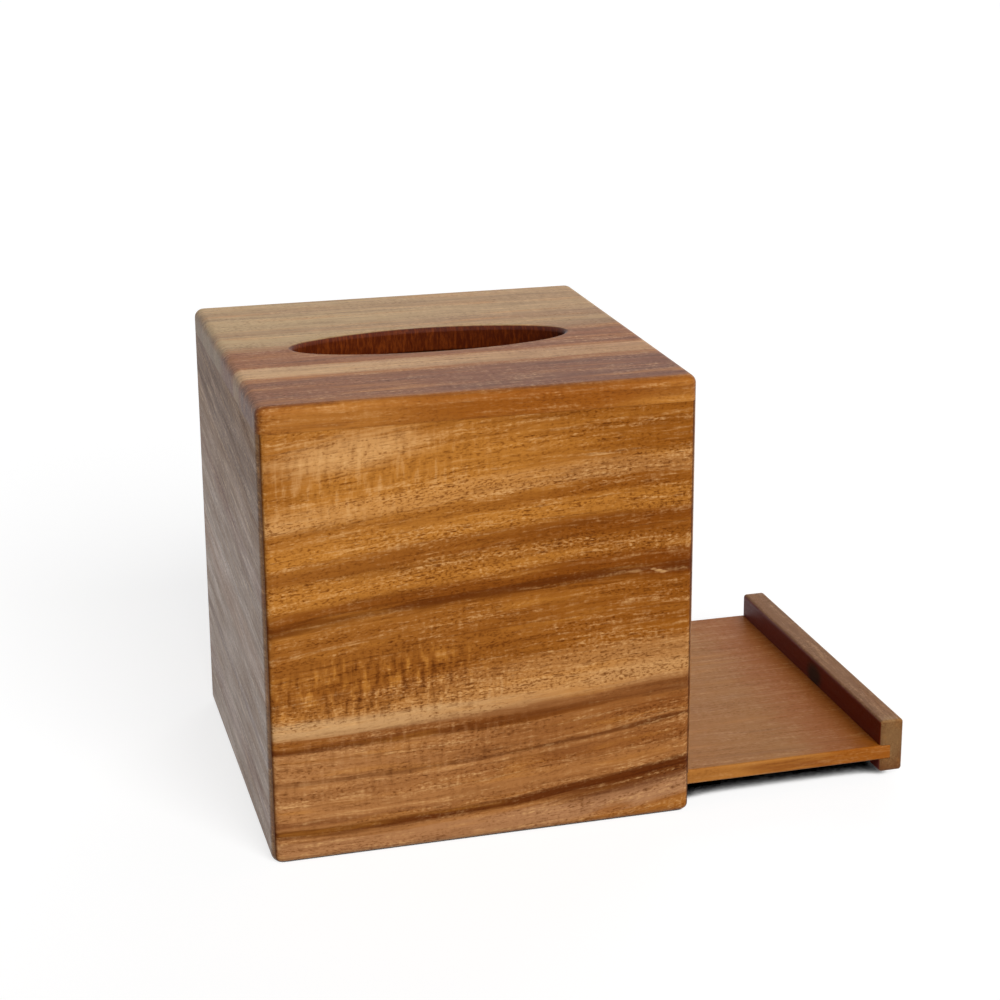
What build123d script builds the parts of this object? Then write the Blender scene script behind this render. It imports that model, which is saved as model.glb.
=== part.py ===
"""Cube tissue box in solid wood, closed below by a base board that slides out.

The case is four mitred walls under a flat top with an elliptical slot. The base
board runs in grooves in three of the walls and passes under the fourth, which is
shorter. A pull strip on the board's end covers the mouths of the grooves.

Millimetres, +Z up. The base is modelled as it stands when it is drawn out by
pulled_out towards +X, and the origin is the middle of the whole footprint, case and
drawn-out base together, on the table.
"""

import os

from build123d import *

# Case
case_w = 140.0  # along X, the way the base slides
case_d = 140.0  # along Y
case_h = 150.0
wall_t = 8.0
top_t = 8.3
corner_r = 3.5  # upright corners
rim_r = 3.0  # upper and lower outer edges
lip_r = 1.0  # lower edges of the short wall

# Slot for the tissues
slot_l = 93.0
slot_w = 31.0
slot_round_r = 1.5  # upper edge of the slot
slot_ease_r = 0.8  # lower edge of the slot

# Base board and the grooves that carry it
base_t = 5.2
base_z = 7.2  # underside of the board above the table
base_round_r = 0.7
groove_depth = 3.3
side_clearance = 0.3  # board's edge to the bottom of a groove
running_clearance = 0.35  # above and below the board

# Pull strip on the end of the board
strip_t = 8.5
strip_h = 18.8
strip_z = 2.5  # underside of the strip above the table
strip_round_r = 1.2
dado_depth = 3.8
shut_gap = 0.3  # strip to case when the base is pushed home

# Pose
pulled_out = 70.0

# Worked out from the sizes above
cavity_w = case_w - 2 * wall_t
cavity_d = case_d - 2 * wall_t
wall_h = case_h - top_t
groove_z = base_z - running_clearance
groove_h = base_t + 2 * running_clearance
short_wall_z = groove_z + groove_h
board_d = cavity_d + 2 * (groove_depth - side_clearance)
board_home_x = -cavity_w / 2 - groove_depth + side_clearance
strip_home_x = case_w / 2 + shut_gap
board_l = strip_home_x + dado_depth - board_home_x
case_x = -(shut_gap + pulled_out + strip_t) / 2

os.makedirs("parts", exist_ok=True)


def level(z):
    """The horizontal plane at height z, centred on the case."""
    return Plane((case_x, 0, z))


def plan_corner(side_x, side_y, inset):
    """A corner of the case seen from above, drawn in by inset."""
    return side_x * (case_w / 2 - inset), side_y * (case_d / 2 - inset)


def mitred_wall(start, end, foot_z):
    """One wall of the case, from foot_z up to the top, between two mitred corners."""
    outline = [
        plan_corner(*start, 0),
        plan_corner(*end, 0),
        plan_corner(*end, wall_t),
        plan_corner(*start, wall_t),
    ]
    with BuildPart() as wall:
        add(case_block.part)
        with BuildSketch(level(foot_z)):
            with BuildLine():
                Polyline(outline, close=True)
            make_face()
        extrude(amount=wall_h - foot_z, mode=Mode.INTERSECT)
    return wall


# The glued-up case in one block: rounded outside, hollow below the top, grooved
with BuildPart() as case_block:
    with BuildSketch(level(0)):
        RectangleRounded(case_w, case_d, corner_r)
    extrude(amount=case_h)
    fillet(case_block.faces().filter_by(Axis.Z).edges(), rim_r)
    with BuildSketch(level(0)):
        Rectangle(cavity_w, cavity_d)
    extrude(amount=wall_h, mode=Mode.SUBTRACT)
    # the groove runs round three walls and out under the fourth
    with BuildSketch(level(groove_z)):
        with Locations((-cavity_w / 2 - groove_depth, 0)):
            Rectangle(case_w, cavity_d + 2 * groove_depth, align=(Align.MIN, Align.CENTER))
    extrude(amount=groove_h, mode=Mode.SUBTRACT)

front_wall = mitred_wall((-1, -1), (1, -1), 0)
back_wall = mitred_wall((1, 1), (-1, 1), 0)
left_wall = mitred_wall((-1, 1), (-1, -1), 0)

# the fourth wall ends above the base board, and its lower edges are eased
right_wall = mitred_wall((1, -1), (1, 1), short_wall_z)
with right_wall:
    foot = right_wall.faces().sort_by(Axis.Z)[0]
    fillet(foot.edges().filter_by(Axis.Y), lip_r)

# Top, glued over the walls
with BuildPart() as top_panel:
    add(case_block.part)
    with BuildSketch(level(wall_h)):
        Rectangle(case_w, case_d)
    extrude(amount=top_t, mode=Mode.INTERSECT)
    with BuildSketch(level(wall_h)):
        Ellipse(slot_l / 2, slot_w / 2)
    extrude(amount=top_t, mode=Mode.SUBTRACT)
    slot_rims = top_panel.edges().filter_by(GeomType.ELLIPSE).sort_by(Axis.Z)
    fillet(slot_rims[-1], slot_round_r)
    fillet(slot_rims[0], slot_ease_r)

# Base board, drawn out, its end housed in the strip's dado
with BuildPart() as base_board:
    with BuildSketch(level(base_z)):
        with Locations((board_home_x + pulled_out, 0)):
            Rectangle(board_l, board_d, align=(Align.MIN, Align.CENTER))
    extrude(amount=base_t)
    fillet(base_board.edges().filter_by(Axis.X), base_round_r)

# Pull strip, as long as the board is deep
with BuildPart() as pull_strip:
    with BuildSketch(level(strip_z)):
        with Locations((strip_home_x + pulled_out, 0)):
            Rectangle(strip_t, board_d, align=(Align.MIN, Align.CENTER))
    extrude(amount=strip_h)
    fillet(pull_strip.edges(), strip_round_r)
    with BuildSketch(level(base_z)):
        with Locations((strip_home_x + pulled_out, 0)):
            Rectangle(dado_depth, board_d, align=(Align.MIN, Align.CENTER))
    extrude(amount=base_t, mode=Mode.SUBTRACT)

pieces = {
    "front_wall": front_wall,
    "back_wall": back_wall,
    "left_wall": left_wall,
    "right_wall": right_wall,
    "top_panel": top_panel,
    "base_board": base_board,
    "pull_strip": pull_strip,
}
for label, piece in pieces.items():
    piece.part.label = label
    export_step(piece.part, f"parts/{label}.step")
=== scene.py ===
"""Looks of a cube tissue box in oiled acacia, its base drawn out to the right.

Lengths are in metres, as in the frame. Inside the wood materials they are in
millimetres, measured from a corner of the case or of the sliding base: along the
grain, across it, and through the board.
"""

from collections.abc import Callable
from dataclasses import dataclass
from math import cos, pi, radians, sin

import bpy
from mathutils import Matrix, Vector


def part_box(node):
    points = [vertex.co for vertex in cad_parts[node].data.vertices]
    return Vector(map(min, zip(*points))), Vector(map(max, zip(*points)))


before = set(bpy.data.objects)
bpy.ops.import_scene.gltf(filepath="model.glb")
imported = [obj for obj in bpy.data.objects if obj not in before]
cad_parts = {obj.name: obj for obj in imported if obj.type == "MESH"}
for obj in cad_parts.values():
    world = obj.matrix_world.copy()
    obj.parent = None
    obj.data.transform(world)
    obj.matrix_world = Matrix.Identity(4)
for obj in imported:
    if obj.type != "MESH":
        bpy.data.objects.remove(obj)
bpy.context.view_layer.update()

MM = 1000.0  # millimetres in a metre

# Sizes, in millimetres
CASE_SIDE = 140.0  # the case's width and depth
CASE_TALL = 150.0
BOARD_LENGTH = 140.0  # rounded up
BOARD_THICK = 5.2
STRIP_LENGTH = 130.0
SLOT_HALF = (46.5, 15.5)  # half the slot's length and width
SLOT_SHADE_REACH = (1.7, 0.9)  # how far outside the slot its painted shade starts, and is full
SEAM_LINE = (0.35, 0.05)  # how far from the top's joint its glue line starts, and is full
MITRE_LINE = (1.5, 0.2)  # the same at the mitres, where painted shade along the rounded corners widens the glue line
BEND_CHANGES = (30.0, 62.0)  # heights between which bend_low gives way to bend_high
FAR = 1000.0  # a reach that never matters

# Places read from the frame
top_low, top_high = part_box("top_panel")
board_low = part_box("base_board")[0]
strip_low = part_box("pull_strip")[0]
case_corner = Vector((top_low.x, top_low.y, 0.0))
case_middle = Vector(((top_low.x + top_high.x) / 2, 0.0, 0.0))
seam_height = top_low.z * MM
board_to_strip = (strip_low.x - board_low.x) * MM  # length of board before the strip

# Camera, placed from the middle of the case's footprint, with its angles in degrees
CAMERA_FROM_CASE = Vector((-0.1616, -0.6949, 0.3250))
CAMERA_AZIMUTH = -16.11
CAMERA_ELEVATION = 16.47
CAMERA_ROLL = 0.08
CAMERA_LENS = 78.84
CAMERA_SENSOR = 36.0
CAMERA_SHIFT = (-0.0428, -0.0589)

# Light. Azimuths count in degrees to the right from straight in front, and a strength
# of 1 lights a surface that faces the lamp to its own colour.
KEY_AZIMUTH = 12.0
KEY_ELEVATION = 30.0
KEY_STRENGTH = 1.05
FILL_AZIMUTH = 150.0  # behind, to the right
FILL_ELEVATION = 10.0
FILL_STRENGTH = 0.5
LAMP_SPREAD = 40.0
AMBIENT = 0.16
SEEN_WHITE = 1.0  # strength of the surroundings where they are seen

# Floor
FLOOR_SIZE = 12.0
FLOOR_ALBEDO = 0.35
FLOOR_GLOW = 0.75
FLOOR_BOUNCE = 0.25  # colour of the floor as it lights the object
# painted shade on the floor close under the object, from ambient occlusion
CONTACT_REACH = 0.2
CONTACT_SAMPLES = 32
CONTACT_DARK = 0.10  # share of open sky at which the floor is black
CONTACT_CLEAR = 0.21  # share of open sky from which the floor is white

# Relief of the fibres and pores
BUMP_STRENGTH = 0.35
BUMP_DEPTH = 0.00005

# Tones of the wood, as 8-bit sRGB
PALE = (228, 178, 118)
GOLD = (194, 128, 52)
ROSE = (170, 122, 84)
HONEY = (168, 106, 42)
AMBER = (148, 86, 24)
ORANGE = (144, 78, 10)
TAN = (168, 117, 74)
CREAM = (200, 158, 110)
FAWN = (182, 151, 105)
CHESTNUT = (118, 58, 8)
UMBER = (88, 38, 4)
RUST = (110, 56, 22)
BARK = (58, 22, 4)
KNOT = (22, 6, 2)
SIDE = (136, 94, 50)
BOARD_BROWN = (154, 102, 46)
STRIP_BROWN = (122, 80, 42)
# painted shade for the strip's face towards the case
STRIP_PAINTED_SHADE = (98, 20, 0)
# painted shade in the slot, and the lighter streaks in it
SLOT_SHADE_DARK = (70, 22, 4)
SLOT_SHADE_STREAK = (112, 50, 14)

# What a dark fibre or a pore leaves of a colour, as linear shares
DEEP = (0.42, 0.30, 0.18, 1.0)


def linear(tone):
    """An 8-bit sRGB tone as a linear colour."""
    def channel(value):
        share = value / 255
        return share / 12.92 if share <= 0.04045 else ((share + 0.055) / 1.055) ** 2.4

    return (*(channel(value) for value in tone), 1.0)


class Field:
    """A number, vector or colour that varies over a surface."""

    def __init__(self, graph, socket):
        self.graph = graph
        self.socket = socket

    def __add__(self, other):
        return self.graph.math("ADD", self, other)

    def __sub__(self, other):
        return self.graph.math("SUBTRACT", self, other)

    def __rsub__(self, other):
        return self.graph.math("SUBTRACT", other, self)

    def __mul__(self, other):
        return self.graph.math("MULTIPLY", self, other)

    def __rtruediv__(self, other):
        return self.graph.math("DIVIDE", other, self)

    def __abs__(self):
        return self.graph.math("ABSOLUTE", self)


class Graph:
    """The nodes of one material or world, added by short calls."""

    def __init__(self, tree):
        self.tree = tree
        self.tree.nodes.clear()

    def node(self, kind, **settings):
        made = self.tree.nodes.new(kind)
        for key, value in settings.items():
            setattr(made, key, value)
        return made

    def feed(self, socket, value):
        """Sets a socket, or links a field to it."""
        if isinstance(value, Field):
            self.tree.links.new(value.socket, socket)
        else:
            socket.default_value = value

    def feed_all(self, sockets, values):
        for socket, value in zip(sockets, values):
            self.feed(socket, value)

    def field(self, made, output=0):
        return Field(self, made.outputs[output])

    def math(self, operation, *values):
        made = self.node("ShaderNodeMath", operation=operation)
        self.feed_all(made.inputs, values)
        return self.field(made)

    def step(self, value, start, end, low=0.0, high=1.0):
        """low before start, high past end, and a smooth change between them."""
        made = self.node("ShaderNodeMapRange", interpolation_type="SMOOTHSTEP")
        self.feed_all(made.inputs, (value, start, end, low, high))
        return self.field(made)

    def mix(self, share, start, end, blend="MIX"):
        """The colour start, turned towards end by share."""
        made = self.node("ShaderNodeMix", data_type="RGBA", blend_type=blend)
        self.feed_all((made.inputs[0], made.inputs[6], made.inputs[7]), (share, start, end))
        return self.field(made, 2)

    def stain(self, share, colour):
        """The colour, made darker and deeper by share."""
        return self.mix(share, colour, DEEP, "MULTIPLY")

    def point(self, *numbers):
        made = self.node("ShaderNodeCombineXYZ")
        self.feed_all(made.inputs, numbers)
        return self.field(made)

    def split(self, vector):
        made = self.node("ShaderNodeSeparateXYZ")
        self.feed(made.inputs[0], vector)
        return [self.field(made, index) for index in range(3)]

    def noise(self, point, detail=3.0, rough=0.5):
        """Noise about 0, mostly between -0.3 and 0.3."""
        made = self.node("ShaderNodeTexNoise")
        self.feed(made.inputs["Vector"], point)
        made.inputs["Scale"].default_value = 1.0
        made.inputs["Detail"].default_value = detail
        made.inputs["Roughness"].default_value = rough
        return self.field(made) - 0.5

    def cells(self, point):
        """Distance from the middle of a random cell, and a number that is the cell's own."""
        made = self.node("ShaderNodeTexVoronoi")
        self.feed(made.inputs["Vector"], point)
        made.inputs["Scale"].default_value = 1.0
        own = self.split(self.field(made, 1))[0]
        return self.field(made, 0), own

    def distance(self, point, centre, reach=(1.0, 1.0, 1.0)):
        """Distance from centre, counted in reaches along each axis."""
        away = self.node("ShaderNodeVectorMath", operation="SUBTRACT")
        self.feed(away.inputs[0], point)
        away.inputs[1].default_value = centre
        scaled = self.node("ShaderNodeVectorMath", operation="DIVIDE")
        self.feed(scaled.inputs[0], self.field(away))
        scaled.inputs[1].default_value = reach
        length = self.node("ShaderNodeVectorMath", operation="LENGTH")
        self.feed(length.inputs[0], self.field(scaled))
        return self.field(length, "Value")


@dataclass
class Band:
    """A stripe along the grain. Its share of the board's colour may change end to end."""

    level: float  # height of its middle, halfway along the board
    half: float  # half its height
    tone: tuple
    near: float = 1.0  # share where along is 0
    far: float = 1.0  # share at the board's other end
    soft: float = 2.0  # height of each soft edge
    fleck: float = 0.0  # more short marks inside the stripe, or below 0 a calmer one
    tilt: float = 0.0  # how far the stripe leaves the grain at the board's ends


@dataclass
class Patch:
    """A soft spot of another tone. Places and reaches are along, level and depth."""

    centre: tuple
    reach: tuple
    tone: tuple
    share: float = 1.0


@dataclass
class Board:
    """How one board is cut and coloured. Each axis is x, y or z."""

    corner: Vector  # where along, across and depth are 0
    grain: str
    across: str
    length: float
    base: tuple
    base_far: tuple
    slope_low: float = 0.0  # rise of the grain where across is 0
    slope_high: float = 0.0  # rise of the grain where across is CASE_TALL
    bend_low: float = 0.0  # how far both ends of the grain turn up, below
    bend_high: float = 0.0  # and above
    bands: tuple = ()
    patches: tuple = ()
    curls: tuple = ()
    wander: float = 1.2
    ragged: float = 1.6
    cloud: float = 0.45
    pores: float = 0.6
    fibres: float = 1.0
    end: float = 0.5  # how much darker the end grain is
    rough: float = 0.42
    rough_high: float = 0.42  # roughness where across is CASE_TALL
    dull: float = 0.0  # cloudiness of the polish
    ior: float = 1.35
    seed: float = 0.0
    seam: float = 0.0  # share of a glue line under the top
    mitre: float = 0.0  # share of a glue line at the corners, widened by painted shade where the rounded corners turn
    finish: Callable | None = None


class Grain:
    """Where a point of the surface lies in its board, and which way it faces."""

    def __init__(self, graph, board):
        self.graph = graph
        self.board = board
        coordinates = graph.node("ShaderNodeTexCoord")
        self.place = graph.split(Field(graph, coordinates.outputs["Object"]))
        self.facing = graph.split(Field(graph, coordinates.outputs["Normal"]))
        self.end_on = abs(self.facing["xyz".index(board.grain)])
        through = ({"x", "y", "z"} - {board.grain, board.across}).pop()
        self.along = self.measured(board.grain)
        self.across = self.measured(board.across)
        self.depth = self.measured(through)

        # the grain's own level: across, less its rise and bend along the board and its wander
        from_middle = self.along - board.length / 2
        self.to_end = from_middle * (2 / board.length)  # -1 and 1 at the board's ends
        rise = graph.step(self.across, 0.0, CASE_TALL, board.slope_low, board.slope_high)
        bend = graph.step(self.across, *BEND_CHANGES, board.bend_low, board.bend_high)
        wide = graph.point(
            self.along * (1 / 70), self.across * (1 / 16), self.depth * (1 / 16) + board.seed
        )
        level = self.across - rise * from_middle - bend * (self.to_end * self.to_end)
        level = level + graph.noise(wide, 2.0) * (board.wander * 2)
        narrow = graph.point(self.along * (1 / 12), level * 0.9, self.depth + board.seed)
        self.ragged = graph.noise(narrow, 3.0, 0.6)
        self.level = level + self.ragged * board.ragged
        self.point = graph.point(self.along, self.level, self.depth)

    def measured(self, axis):
        index = "xyz".index(axis)
        return (self.place[index] - self.board.corner[index]) * MM

    def scaled(self, along, across, layer=0):
        """The place in the grain, scaled along and across it, in a layer of its own."""
        return self.graph.point(
            self.along * along,
            self.level * across,
            self.depth * across + self.board.seed + layer,
        )

    def noise(self, along, across, layer, detail=3.0, rough=0.5):
        """Noise that follows the grain."""
        return self.graph.noise(self.scaled(along, across, layer), detail, rough)


def slot_painted_shade(graph, grain, colour):
    """Painted shade in the slot: its cut faces and rim dark red-brown, with lighter streaks,
    darker towards its right end.
    """
    middle = (CASE_SIDE / 2, CASE_SIDE / 2, 0.0)
    place = graph.point(grain.along, grain.across, 0.0)
    turns = graph.distance(place, middle, (*SLOT_HALF, FAR))
    gap = graph.distance(place, middle) * (1.0 - 1.0 / turns)
    # painted shade: full inside the slot, fading out across its rounded rim
    inside = graph.step(gap, *SLOT_SHADE_REACH)
    cut = graph.point(grain.along * 1.3, grain.across * 0.3, grain.depth * 0.25)
    marks = graph.step(graph.noise(cut, 4.0, 0.7), -0.12, 0.24)
    tone = graph.mix(marks, linear(SLOT_SHADE_DARK), linear(SLOT_SHADE_STREAK))
    # painted shade, deeper towards the slot's right end
    tone = graph.stain(graph.step(grain.along, 40.0, 115.0, 0.0, 0.6), tone)
    return graph.mix(inside, colour, tone)


def strip_shade_and_knot(graph, grain, colour):
    """Painted shade, nearly black, on the strip's face towards the case, and a pin knot in that
    face.
    """
    knot = Patch((58.0, 13.0, 0.0), (9.0, 6.0, 3.0), KNOT, 0.95)
    # painted shade on the face that looks towards the case, away from the light
    shaded_face = graph.step(grain.facing[0], -0.6, -0.95, 0.0, 0.96)
    colour = graph.mix(shaded_face, colour, linear(STRIP_PAINTED_SHADE))
    place = graph.point(grain.along, grain.across, grain.depth)
    away = graph.distance(place, knot.centre, knot.reach)
    return graph.mix(graph.step(away, 1.0, 0.35, 0.0, knot.share), colour, linear(knot.tone))


def banded(graph, board, grain, streak, colour):
    """The colour with the board's bands on it, and what the bands do to its marks.

    That is how closely the short marks stand, and a share below 1 where a band is calm.
    """
    thin = graph.noise(graph.point(grain.along * (1 / 40), grain.level * (1 / 5), board.seed + 3))
    crowd = graph.step(thin, -0.14, 0.12, 0.35, 1.0)
    quiet = 1.0
    for band in board.bands:
        away = grain.level + streak * band.soft * 2.0 - grain.to_end * band.tilt - band.level
        inside = graph.step(abs(away), band.half + band.soft, band.half)
        share = graph.step(grain.along, 0.0, board.length, band.near, band.far)
        colour = graph.mix(inside * share, colour, linear(band.tone))
        if band.fleck > 0:
            crowd = crowd + inside * band.fleck
        if band.fleck < 0:
            quiet = (inside * band.fleck + 1.0) * quiet
    return colour, crowd, quiet


def clouded(graph, board, grain, cloud, colour):
    """The colour with clouds and the board's patches on it."""
    colour = graph.stain(graph.step(cloud, 0.0, 0.25, 0.0, board.cloud), colour)
    colour = graph.mix(graph.step(cloud, 0.0, -0.25, 0.0, board.cloud), colour, linear(GOLD))
    for patch in board.patches:
        away = graph.distance(grain.point, patch.centre, patch.reach) + grain.ragged
        share = graph.step(away, 1.0, 0.3, 0.0, patch.share)
        colour = graph.mix(share, colour, linear(patch.tone))
    return colour


def curled(graph, board, grain, ripple, colour):
    """The colour with curly figure on it: ripples that run across the grain."""
    for curl in board.curls:
        away = graph.distance(grain.point, curl.centre, curl.reach)
        where = graph.step(away, 1.0, 0.5, 0.0, curl.share)
        colour = graph.stain(graph.step(ripple, 0.0, 0.2) * where, colour)
        colour = graph.mix(graph.step(ripple, 0.0, -0.2) * where, colour, linear(curl.tone))
    return colour


def glued(graph, board, grain, colour):
    """The colour with thin glue lines on it under the top, and at the mitres a dark line that is
    part glue line, part painted shade.
    """
    if board.seam:
        away = abs(grain.place[2] * MM - seam_height)
        line = graph.step(away, *SEAM_LINE, 0.0, board.seam)
        colour = graph.mix(line, colour, linear(BARK))
    # at the mitres: a glue line, with painted shade where the rounded corner turns
    if board.mitre:
        from_x = abs((grain.place[0] - case_middle.x) * MM)
        from_y = abs((grain.place[1] - case_middle.y) * MM)
        line = graph.step(abs(from_x - from_y), *MITRE_LINE, 0.0, board.mitre)
        colour = graph.mix(line, colour, linear(BARK))
    return colour


def new_material(name):
    """A material, and the graph of its nodes, which is still empty."""
    material = bpy.data.materials.new(name)
    material.use_nodes = True
    return material, Graph(material.node_tree)


def wood(name, board):
    """Oiled solid wood: bands, curl, fibres and pores that follow the grain."""
    material, graph = new_material(name)
    grain = Grain(graph, board)
    streak = grain.noise(1 / 90, 0.35, 4, 4.0, 0.6)
    cloud = grain.noise(1 / 60, 1 / 5, 5, 4.0, 0.6)
    ripple = grain.noise(0.5, 1 / 8, 9)

    # broad colour
    to_far = graph.step(grain.along, 0.0, board.length)
    colour = graph.mix(to_far, linear(board.base), linear(board.base_far))
    colour, crowd, quiet = banded(graph, board, grain, streak, colour)
    colour = clouded(graph, board, grain, cloud, colour)
    colour = curled(graph, board, grain, ripple, colour)

    # growth lines, streaks, fibres and short marks, then pores
    vein = grain.noise(1 / 110, 0.8, 1, 3.0, 0.6)
    colour = graph.stain(graph.step(vein, 0.05, 0.20, 0.0, 0.45 * board.fibres), colour)
    fibre = grain.noise(1 / 16, 0.8, 2, 4.0, 0.65)
    dash = grain.noise(1 / 1.3, 1.8, 7, 2.0)
    broad = (streak * 0.6 + fibre * 0.9 + ripple * 0.3) * quiet
    marks = dash * crowd * quiet
    figure = broad + marks * 1.7
    colour = graph.stain(graph.step(figure, 0.0, 0.42, 0.0, 0.85 * board.fibres), colour)
    bright = graph.step(broad + marks * 0.7, 0.0, -0.36, 0.0, 0.55 * board.fibres)
    colour = graph.mix(bright, colour, linear(PALE))
    from_pore, own = graph.cells(grain.scaled(1 / 5, 1.6))
    pore = graph.step(from_pore, 0.48, 0.22) * graph.step(own, 0.35, 0.85) * crowd * quiet
    colour = graph.stain(pore * board.pores, colour)

    # end grain drinks more oil
    colour = graph.stain(graph.step(grain.end_on, 0.6, 0.95, 0.0, board.end), colour)
    if board.finish:
        colour = board.finish(graph, grain, colour)
    colour = glued(graph, board, grain, colour)

    shader = graph.node("ShaderNodeBsdfPrincipled")
    graph.feed(shader.inputs["Base Color"], colour)
    rough = graph.step(grain.across, CASE_SIDE / 2, CASE_TALL, board.rough, board.rough_high)
    graph.feed(shader.inputs["Roughness"], rough + figure * 0.2 + cloud * board.dull)
    shader.inputs["IOR"].default_value = board.ior
    bump = graph.node("ShaderNodeBump")
    bump.inputs["Strength"].default_value = BUMP_STRENGTH
    bump.inputs["Distance"].default_value = BUMP_DEPTH
    graph.feed(bump.inputs["Height"], figure * -0.6 - pore)
    graph.feed(shader.inputs["Normal"], graph.field(bump))
    output = graph.node("ShaderNodeOutputMaterial")
    graph.feed(output.inputs["Surface"], graph.field(shader))
    return material


def front_wall_wood():
    bands = (
        Band(20.0, 16.0, TAN, 0.7, 0.45, 14.0),
        Band(119.6, 2.2, PALE, 0.5, 0.15, 2.5, fleck=0.5),
        Band(114.5, 0.4, CHESTNUT, 0.4, 0.3, 2.5),
        Band(107.5, 2.0, GOLD, 0.6, 0.6, 3.0, fleck=0.4),
        Band(101.5, 0.8, CHESTNUT, 0.4, 0.35, 4.0, fleck=-0.2),
        Band(96.0, 7.0, CHESTNUT, 0.05, 0.45, 9.0),
        Band(94.3, 2.5, GOLD, 0.5, 0.1, 3.0, fleck=0.5),
        Band(87.0, 1.4, CHESTNUT, 0.7, 0.6, 4.5, fleck=-0.3),
        Band(84.6, 0.6, UMBER, 0.75, 0.9, 2.2, fleck=-0.4),
        Band(73.0, 5.0, CHESTNUT, 0.4, 0.25, 6.0),
        Band(53.5, 4.5, PALE, 0.05, 0.25, 4.0, fleck=0.5),
        Band(45.6, 2.0, CREAM, 0.8, 0.3, 2.6, fleck=-0.2, tilt=-3.0),
        Band(50.0, 1.0, PALE, 0.0, 0.3, 4.0, fleck=0.2),
        Band(42.0, 1.2, CHESTNUT, 0.65, 0.7, 2.8, fleck=-0.2),
        Band(40.2, 0.4, UMBER, 0.8, 0.4, 1.6, fleck=-0.3),
        Band(34.0, 2.0, CHESTNUT, 0.0, 0.55, 4.0),
        Band(28.5, 0.2, UMBER, 0.5, 0.8, 1.2, fleck=-0.3),
        Band(23.5, 1.0, CHESTNUT, 0.15, 0.5, 3.0),
        Band(14.5, 0.3, RUST, 0.6, 0.1, 1.2),
        Band(11.4, 0.7, UMBER, 0.95, 0.95, 1.8, fleck=-0.5),
        Band(4.0, 3.0, ROSE, 0.4, 0.9, 2.0),
    )
    patches = (
        Patch((45.0, 126.0, 0.0), (80.0, 20.0, 20.0), GOLD, 0.55),
        Patch((6.0, 132.0, 0.0), (12.0, 14.0, 20.0), AMBER, 0.5),
        Patch((28.0, 138.0, 0.0), (34.0, 8.0, 20.0), PALE, 0.45),
        Patch((32.0, 60.0, 0.0), (60.0, 9.0, 20.0), CHESTNUT, 0.5),
        Patch((96.0, 24.0, 0.0), (14.0, 4.0, 20.0), RUST, 0.35),
        Patch((122.0, 8.5, 0.0), (46.0, 4.5, 20.0), UMBER, 0.8),
        Patch((112.0, 1.0, 0.0), (10.0, 2.0, 20.0), AMBER, 0.6),
        # a small knot with pale flecks beside it
        Patch((136.0, 85.0, 0.0), (22.0, 6.0, 20.0), CHESTNUT, 0.9),
        Patch((137.0, 84.6, 0.0), (16.0, 3.0, 20.0), UMBER, 0.7),
        Patch((120.0, 84.2, 0.0), (3.0, 0.8, 20.0), PALE, 0.25),
        Patch((125.8, 84.4, 0.0), (1.7, 0.6, 20.0), PALE, 0.45),
        Patch((127.4, 83.7, 0.0), (1.7, 0.7, 20.0), PALE, 0.6),
        Patch((129.0, 83.0, 0.0), (1.7, 0.6, 20.0), PALE, 0.45),
    )
    curls = (
        Patch((30.0, 61.0, 0.0), (52.0, 14.0, 20.0), GOLD, 0.6),
        Patch((50.0, 52.0, 0.0), (44.0, 7.0, 20.0), CREAM, 0.3),
        Patch((30.0, 130.0, 0.0), (50.0, 18.0, 20.0), PALE, 0.25),
        Patch((40.0, 33.0, 0.0), (70.0, 16.0, 20.0), TAN, 0.25),
    )
    return wood("front_wall_wood", Board(
        corner=case_corner, grain="x", across="z", length=CASE_SIDE, base=HONEY, base_far=AMBER,
        slope_low=0.065, slope_high=0.078, bend_low=3.4, bend_high=-2.0,
        bands=bands, patches=patches, curls=curls,
        ior=1.15, seam=0.2, mitre=0.8,
    ))


def left_wall_wood():
    bands = (
        Band(130.0, 8.0, BARK, 0.35, 0.45, 5.0),
        Band(96.0, 2.0, CHESTNUT, 0.5, 0.4, 3.0),
        Band(64.0, 4.0, TAN, 0.5, 0.6, 5.0),
        Band(38.0, 1.0, UMBER, 0.6, 0.5, 1.5),
        Band(18.0, 3.0, CHESTNUT, 0.4, 0.5, 3.0),
    )
    return wood("left_wall_wood", Board(
        corner=case_corner, grain="y", across="z", length=CASE_SIDE, base=SIDE, base_far=SIDE,
        slope_low=0.05, slope_high=0.12, bands=bands,
        rough=0.41, rough_high=0.58, dull=0.5, ior=1.43, seed=11.0, seam=0.2, mitre=0.6,
    ))


def hidden_wall_wood(name, grain, seed):
    """The back and right walls, cut from the same kind of board as the front."""
    bands = (
        Band(20.0, 14.0, TAN, 0.5, 0.4, 12.0),
        Band(124.0, 3.0, GOLD, 0.5, 0.6, 5.0, fleck=0.4),
        Band(112.0, 0.8, CHESTNUT, 0.4, 0.5, 4.0),
        Band(91.0, 2.5, CHESTNUT, 0.5, 0.6, 6.0, fleck=-0.2),
        Band(88.0, 0.5, UMBER, 0.6, 0.4, 2.4, fleck=-0.3),
        Band(66.0, 3.0, GOLD, 0.4, 0.6, 6.0, fleck=0.4),
        Band(47.0, 1.5, CHESTNUT, 0.6, 0.5, 4.0),
        Band(31.0, 0.3, UMBER, 0.5, 0.7, 1.6, fleck=-0.3),
        Band(12.0, 1.0, CHESTNUT, 0.4, 0.6, 3.0),
    )
    return wood(name, Board(
        corner=case_corner, grain=grain, across="z", length=CASE_SIDE, base=HONEY, base_far=AMBER,
        slope_low=0.045, slope_high=0.07, bend_low=2.0, bend_high=-2.0, bands=bands,
        ior=1.25, seed=seed, seam=0.2, mitre=0.6,
    ))


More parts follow.
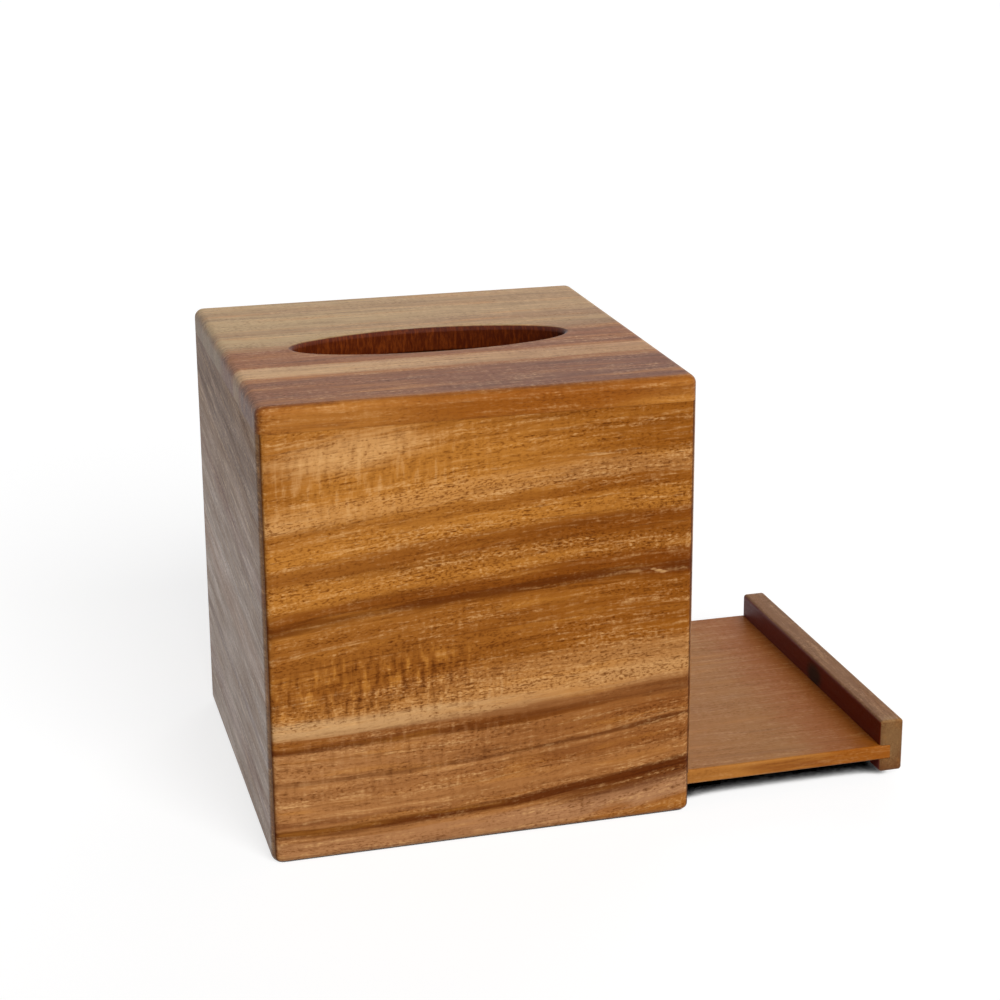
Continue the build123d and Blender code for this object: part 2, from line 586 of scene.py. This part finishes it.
def top_wood():
    bands = (
        Band(17.0, 12.0, RUST, 0.6, 0.9, 5.0),
        Band(60.0, 8.0, CHESTNUT, 0.35, 0.65, 6.0),
        Band(110.0, 30.0, FAWN, 0.95, 0.7, 12.0),
        Band(76.0, 2.0, RUST, 0.1, 0.4, 8.0),
        Band(94.0, 1.0, CHESTNUT, 0.35, 0.4, 7.0),
        Band(124.0, 2.0, CHESTNUT, 0.3, 0.15, 8.0),
        Band(41.0, 4.5, CREAM, 0.95, 0.5, 2.5),
        Band(0.0, 1.0, AMBER, 0.8, 0.8, 1.5, fleck=-0.2),
    )
    # on the panel's front face
    patches = (
        Patch((10.0, 0.0, 146.0), (60.0, 3.0, 9.0), HONEY, 0.9),
        Patch((90.0, 0.0, 145.0), (60.0, 3.0, 6.0), ORANGE, 0.8),
        Patch((130.0, 0.0, 143.0), (18.0, 3.0, 4.0), GOLD, 0.35),
    )
    return wood("top_panel_wood", Board(
        corner=case_corner, grain="x", across="y", length=CASE_SIDE, base=AMBER, base_far=AMBER,
        slope_low=0.02, bands=bands, patches=patches, cloud=0.55, pores=0.4, fibres=0.8,
        # the finish paints shade into the slot
        rough=0.46, rough_high=0.46, ior=1.3, seed=40.0, seam=0.2, finish=slot_painted_shade,
    ))


def base_board_wood():
    half_thick = BOARD_THICK / 2
    bands = (
        Band(0.0, 0.5, HONEY, 0.7, 0.7, 1.2),
    )
    patches = (
        # painted reflection: orange next to the strip, where the board's gloss mirrors the
        # strip's dark face
        Patch((board_to_strip, STRIP_LENGTH / 2, half_thick), (34.0, FAR, FAR), ORANGE, 0.95),
        Patch((102.0, 0.0, half_thick), (20.0, 1.5, 3.0), CHESTNUT, 0.7),
        Patch((150.0, 0.0, half_thick), (8.0, 1.5, 3.0), TAN, 0.7),
    )
    return wood("base_board_wood", Board(
        corner=board_low, grain="x", across="y", length=BOARD_LENGTH,
        base=BOARD_BROWN, base_far=BOARD_BROWN,
        bands=bands, patches=patches, cloud=0.35, pores=0.1, fibres=0.42,
        rough=0.5, rough_high=0.5, ior=1.3, seed=60.0,
    ))


def pull_strip_wood():
    # on the strip's front end
    patches = (
        Patch((0.0, 12.0, 4.0), (8.0, 12.0, 7.0), FAWN, 0.35),
    )
    return wood("pull_strip_wood", Board(
        corner=strip_low, grain="y", across="z", length=STRIP_LENGTH,
        base=STRIP_BROWN, base_far=STRIP_BROWN,
        patches=patches, cloud=0.3, pores=0.1, fibres=0.4, end=0.6,
        # the finish paints shade on the face towards the case, and adds a knot
        rough=0.5, rough_high=0.5, ior=1.3, seed=80.0, finish=strip_shade_and_knot,
    ))


def finish_woods():
    """Gives each piece of the frame its wood."""
    finishes = {
        "front_wall": front_wall_wood(),
        "left_wall": left_wall_wood(),
        "back_wall": hidden_wall_wood("back_wall_wood", "x", 23.0),
        "right_wall": hidden_wall_wood("right_wall_wood", "y", 37.0),
        "top_panel": top_wood(),
        "base_board": base_board_wood(),
        "pull_strip": pull_strip_wood(),
    }
    for node, material in finishes.items():
        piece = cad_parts[node]
        piece.data.materials.clear()
        piece.data.materials.append(material)


def seen(graph):
    """1 for what the camera sees straight, in a gloss or through something, else 0."""
    path = graph.node("ShaderNodeLightPath")
    kinds = ("Camera", "Glossy", "Transmission")
    rays = [Field(graph, path.outputs[f"Is {kind} Ray"]) for kind in kinds]
    return graph.math("MINIMUM", rays[0] + rays[1] + rays[2], 1.0)


def add_floor():
    """A white floor that lights the object little, with painted shade close under it, from
    ambient occlusion.
    """
    half = FLOOR_SIZE / 2
    corners = [(-half, -half, 0), (half, -half, 0), (half, half, 0), (-half, half, 0)]
    mesh = bpy.data.meshes.new("floor")
    mesh.from_pydata(corners, [], [(0, 1, 2, 3)])
    floor = bpy.data.objects.new("floor", mesh)
    bpy.context.scene.collection.objects.link(floor)
    material, graph = new_material("floor_white")
    bounce = graph.node("ShaderNodeBsdfDiffuse")
    bounce.inputs["Color"].default_value = (FLOOR_BOUNCE, FLOOR_BOUNCE, FLOOR_BOUNCE, 1)
    contact = graph.node("ShaderNodeAmbientOcclusion", samples=CONTACT_SAMPLES)
    contact.inputs["Distance"].default_value = CONTACT_REACH
    # painted shade: the floor's colour and glow fade where little open sky is near
    open_sky = graph.step(graph.field(contact, "AO"), CONTACT_DARK, CONTACT_CLEAR)
    pale = graph.node("ShaderNodeBsdfDiffuse")
    lit = open_sky * FLOOR_ALBEDO
    graph.feed(pale.inputs["Color"], graph.point(lit, lit, lit))
    glow = graph.node("ShaderNodeEmission")
    graph.feed(glow.inputs["Strength"], open_sky * FLOOR_GLOW)
    both = graph.node("ShaderNodeAddShader")
    graph.feed_all(both.inputs, (graph.field(pale), graph.field(glow)))
    chosen = graph.node("ShaderNodeMixShader")
    graph.feed_all(chosen.inputs, (seen(graph), graph.field(bounce), graph.field(both)))
    output = graph.node("ShaderNodeOutputMaterial")
    graph.feed(output.inputs["Surface"], graph.field(chosen))
    mesh.materials.append(material)


def add_world():
    world = bpy.data.worlds.new("studio")
    bpy.context.scene.world = world
    world.use_nodes = True
    graph = Graph(world.node_tree)
    room = graph.node("ShaderNodeBackground")
    graph.feed(room.inputs["Strength"], seen(graph) * (SEEN_WHITE - AMBIENT) + AMBIENT)
    room.inputs["Color"].default_value = (1, 1, 1, 1)
    output = graph.node("ShaderNodeOutputWorld")
    graph.feed(output.inputs["Surface"], graph.field(room))


def direction(azimuth, elevation):
    """The way to a place at these angles, as a vector of length 1."""
    azimuth, elevation = radians(azimuth), radians(elevation)
    level = cos(elevation)
    return Vector((sin(azimuth) * level, -cos(azimuth) * level, sin(elevation)))


def add_lamp(name, azimuth, elevation, strength):
    light = bpy.data.lights.new(name, "SUN")
    light.energy = strength * pi
    light.angle = radians(LAMP_SPREAD)
    lamp = bpy.data.objects.new(name, light)
    lamp.rotation_euler = direction(azimuth, elevation).to_track_quat("Z", "Y").to_euler()
    lamp.visible_glossy = False  # no streak of its own along the rounded edges
    bpy.context.scene.collection.objects.link(lamp)


def add_camera():
    forward = -direction(CAMERA_AZIMUTH, CAMERA_ELEVATION)
    right = forward.cross(Vector((0, 0, 1))).normalized()
    down = forward.cross(right)
    roll = radians(CAMERA_ROLL)
    turned_right = right * cos(roll) + down * sin(roll)
    turned_down = down * cos(roll) - right * sin(roll)
    lens = bpy.data.cameras.new("camera")
    lens.lens = CAMERA_LENS
    lens.sensor_width = CAMERA_SENSOR
    lens.shift_x, lens.shift_y = CAMERA_SHIFT
    camera = bpy.data.objects.new("camera", lens)
    turn = Matrix((turned_right, -turned_down, -forward)).transposed()
    camera.matrix_world = Matrix.Translation(case_middle + CAMERA_FROM_CASE) @ turn.to_4x4()
    bpy.context.scene.collection.objects.link(camera)
    bpy.context.scene.camera = camera


bpy.context.scene.view_settings.view_transform = "Standard"
finish_woods()
add_floor()
add_world()
add_lamp("key", KEY_AZIMUTH, KEY_ELEVATION, KEY_STRENGTH)
add_lamp("fill", FILL_AZIMUTH, FILL_ELEVATION, FILL_STRENGTH)
add_camera()
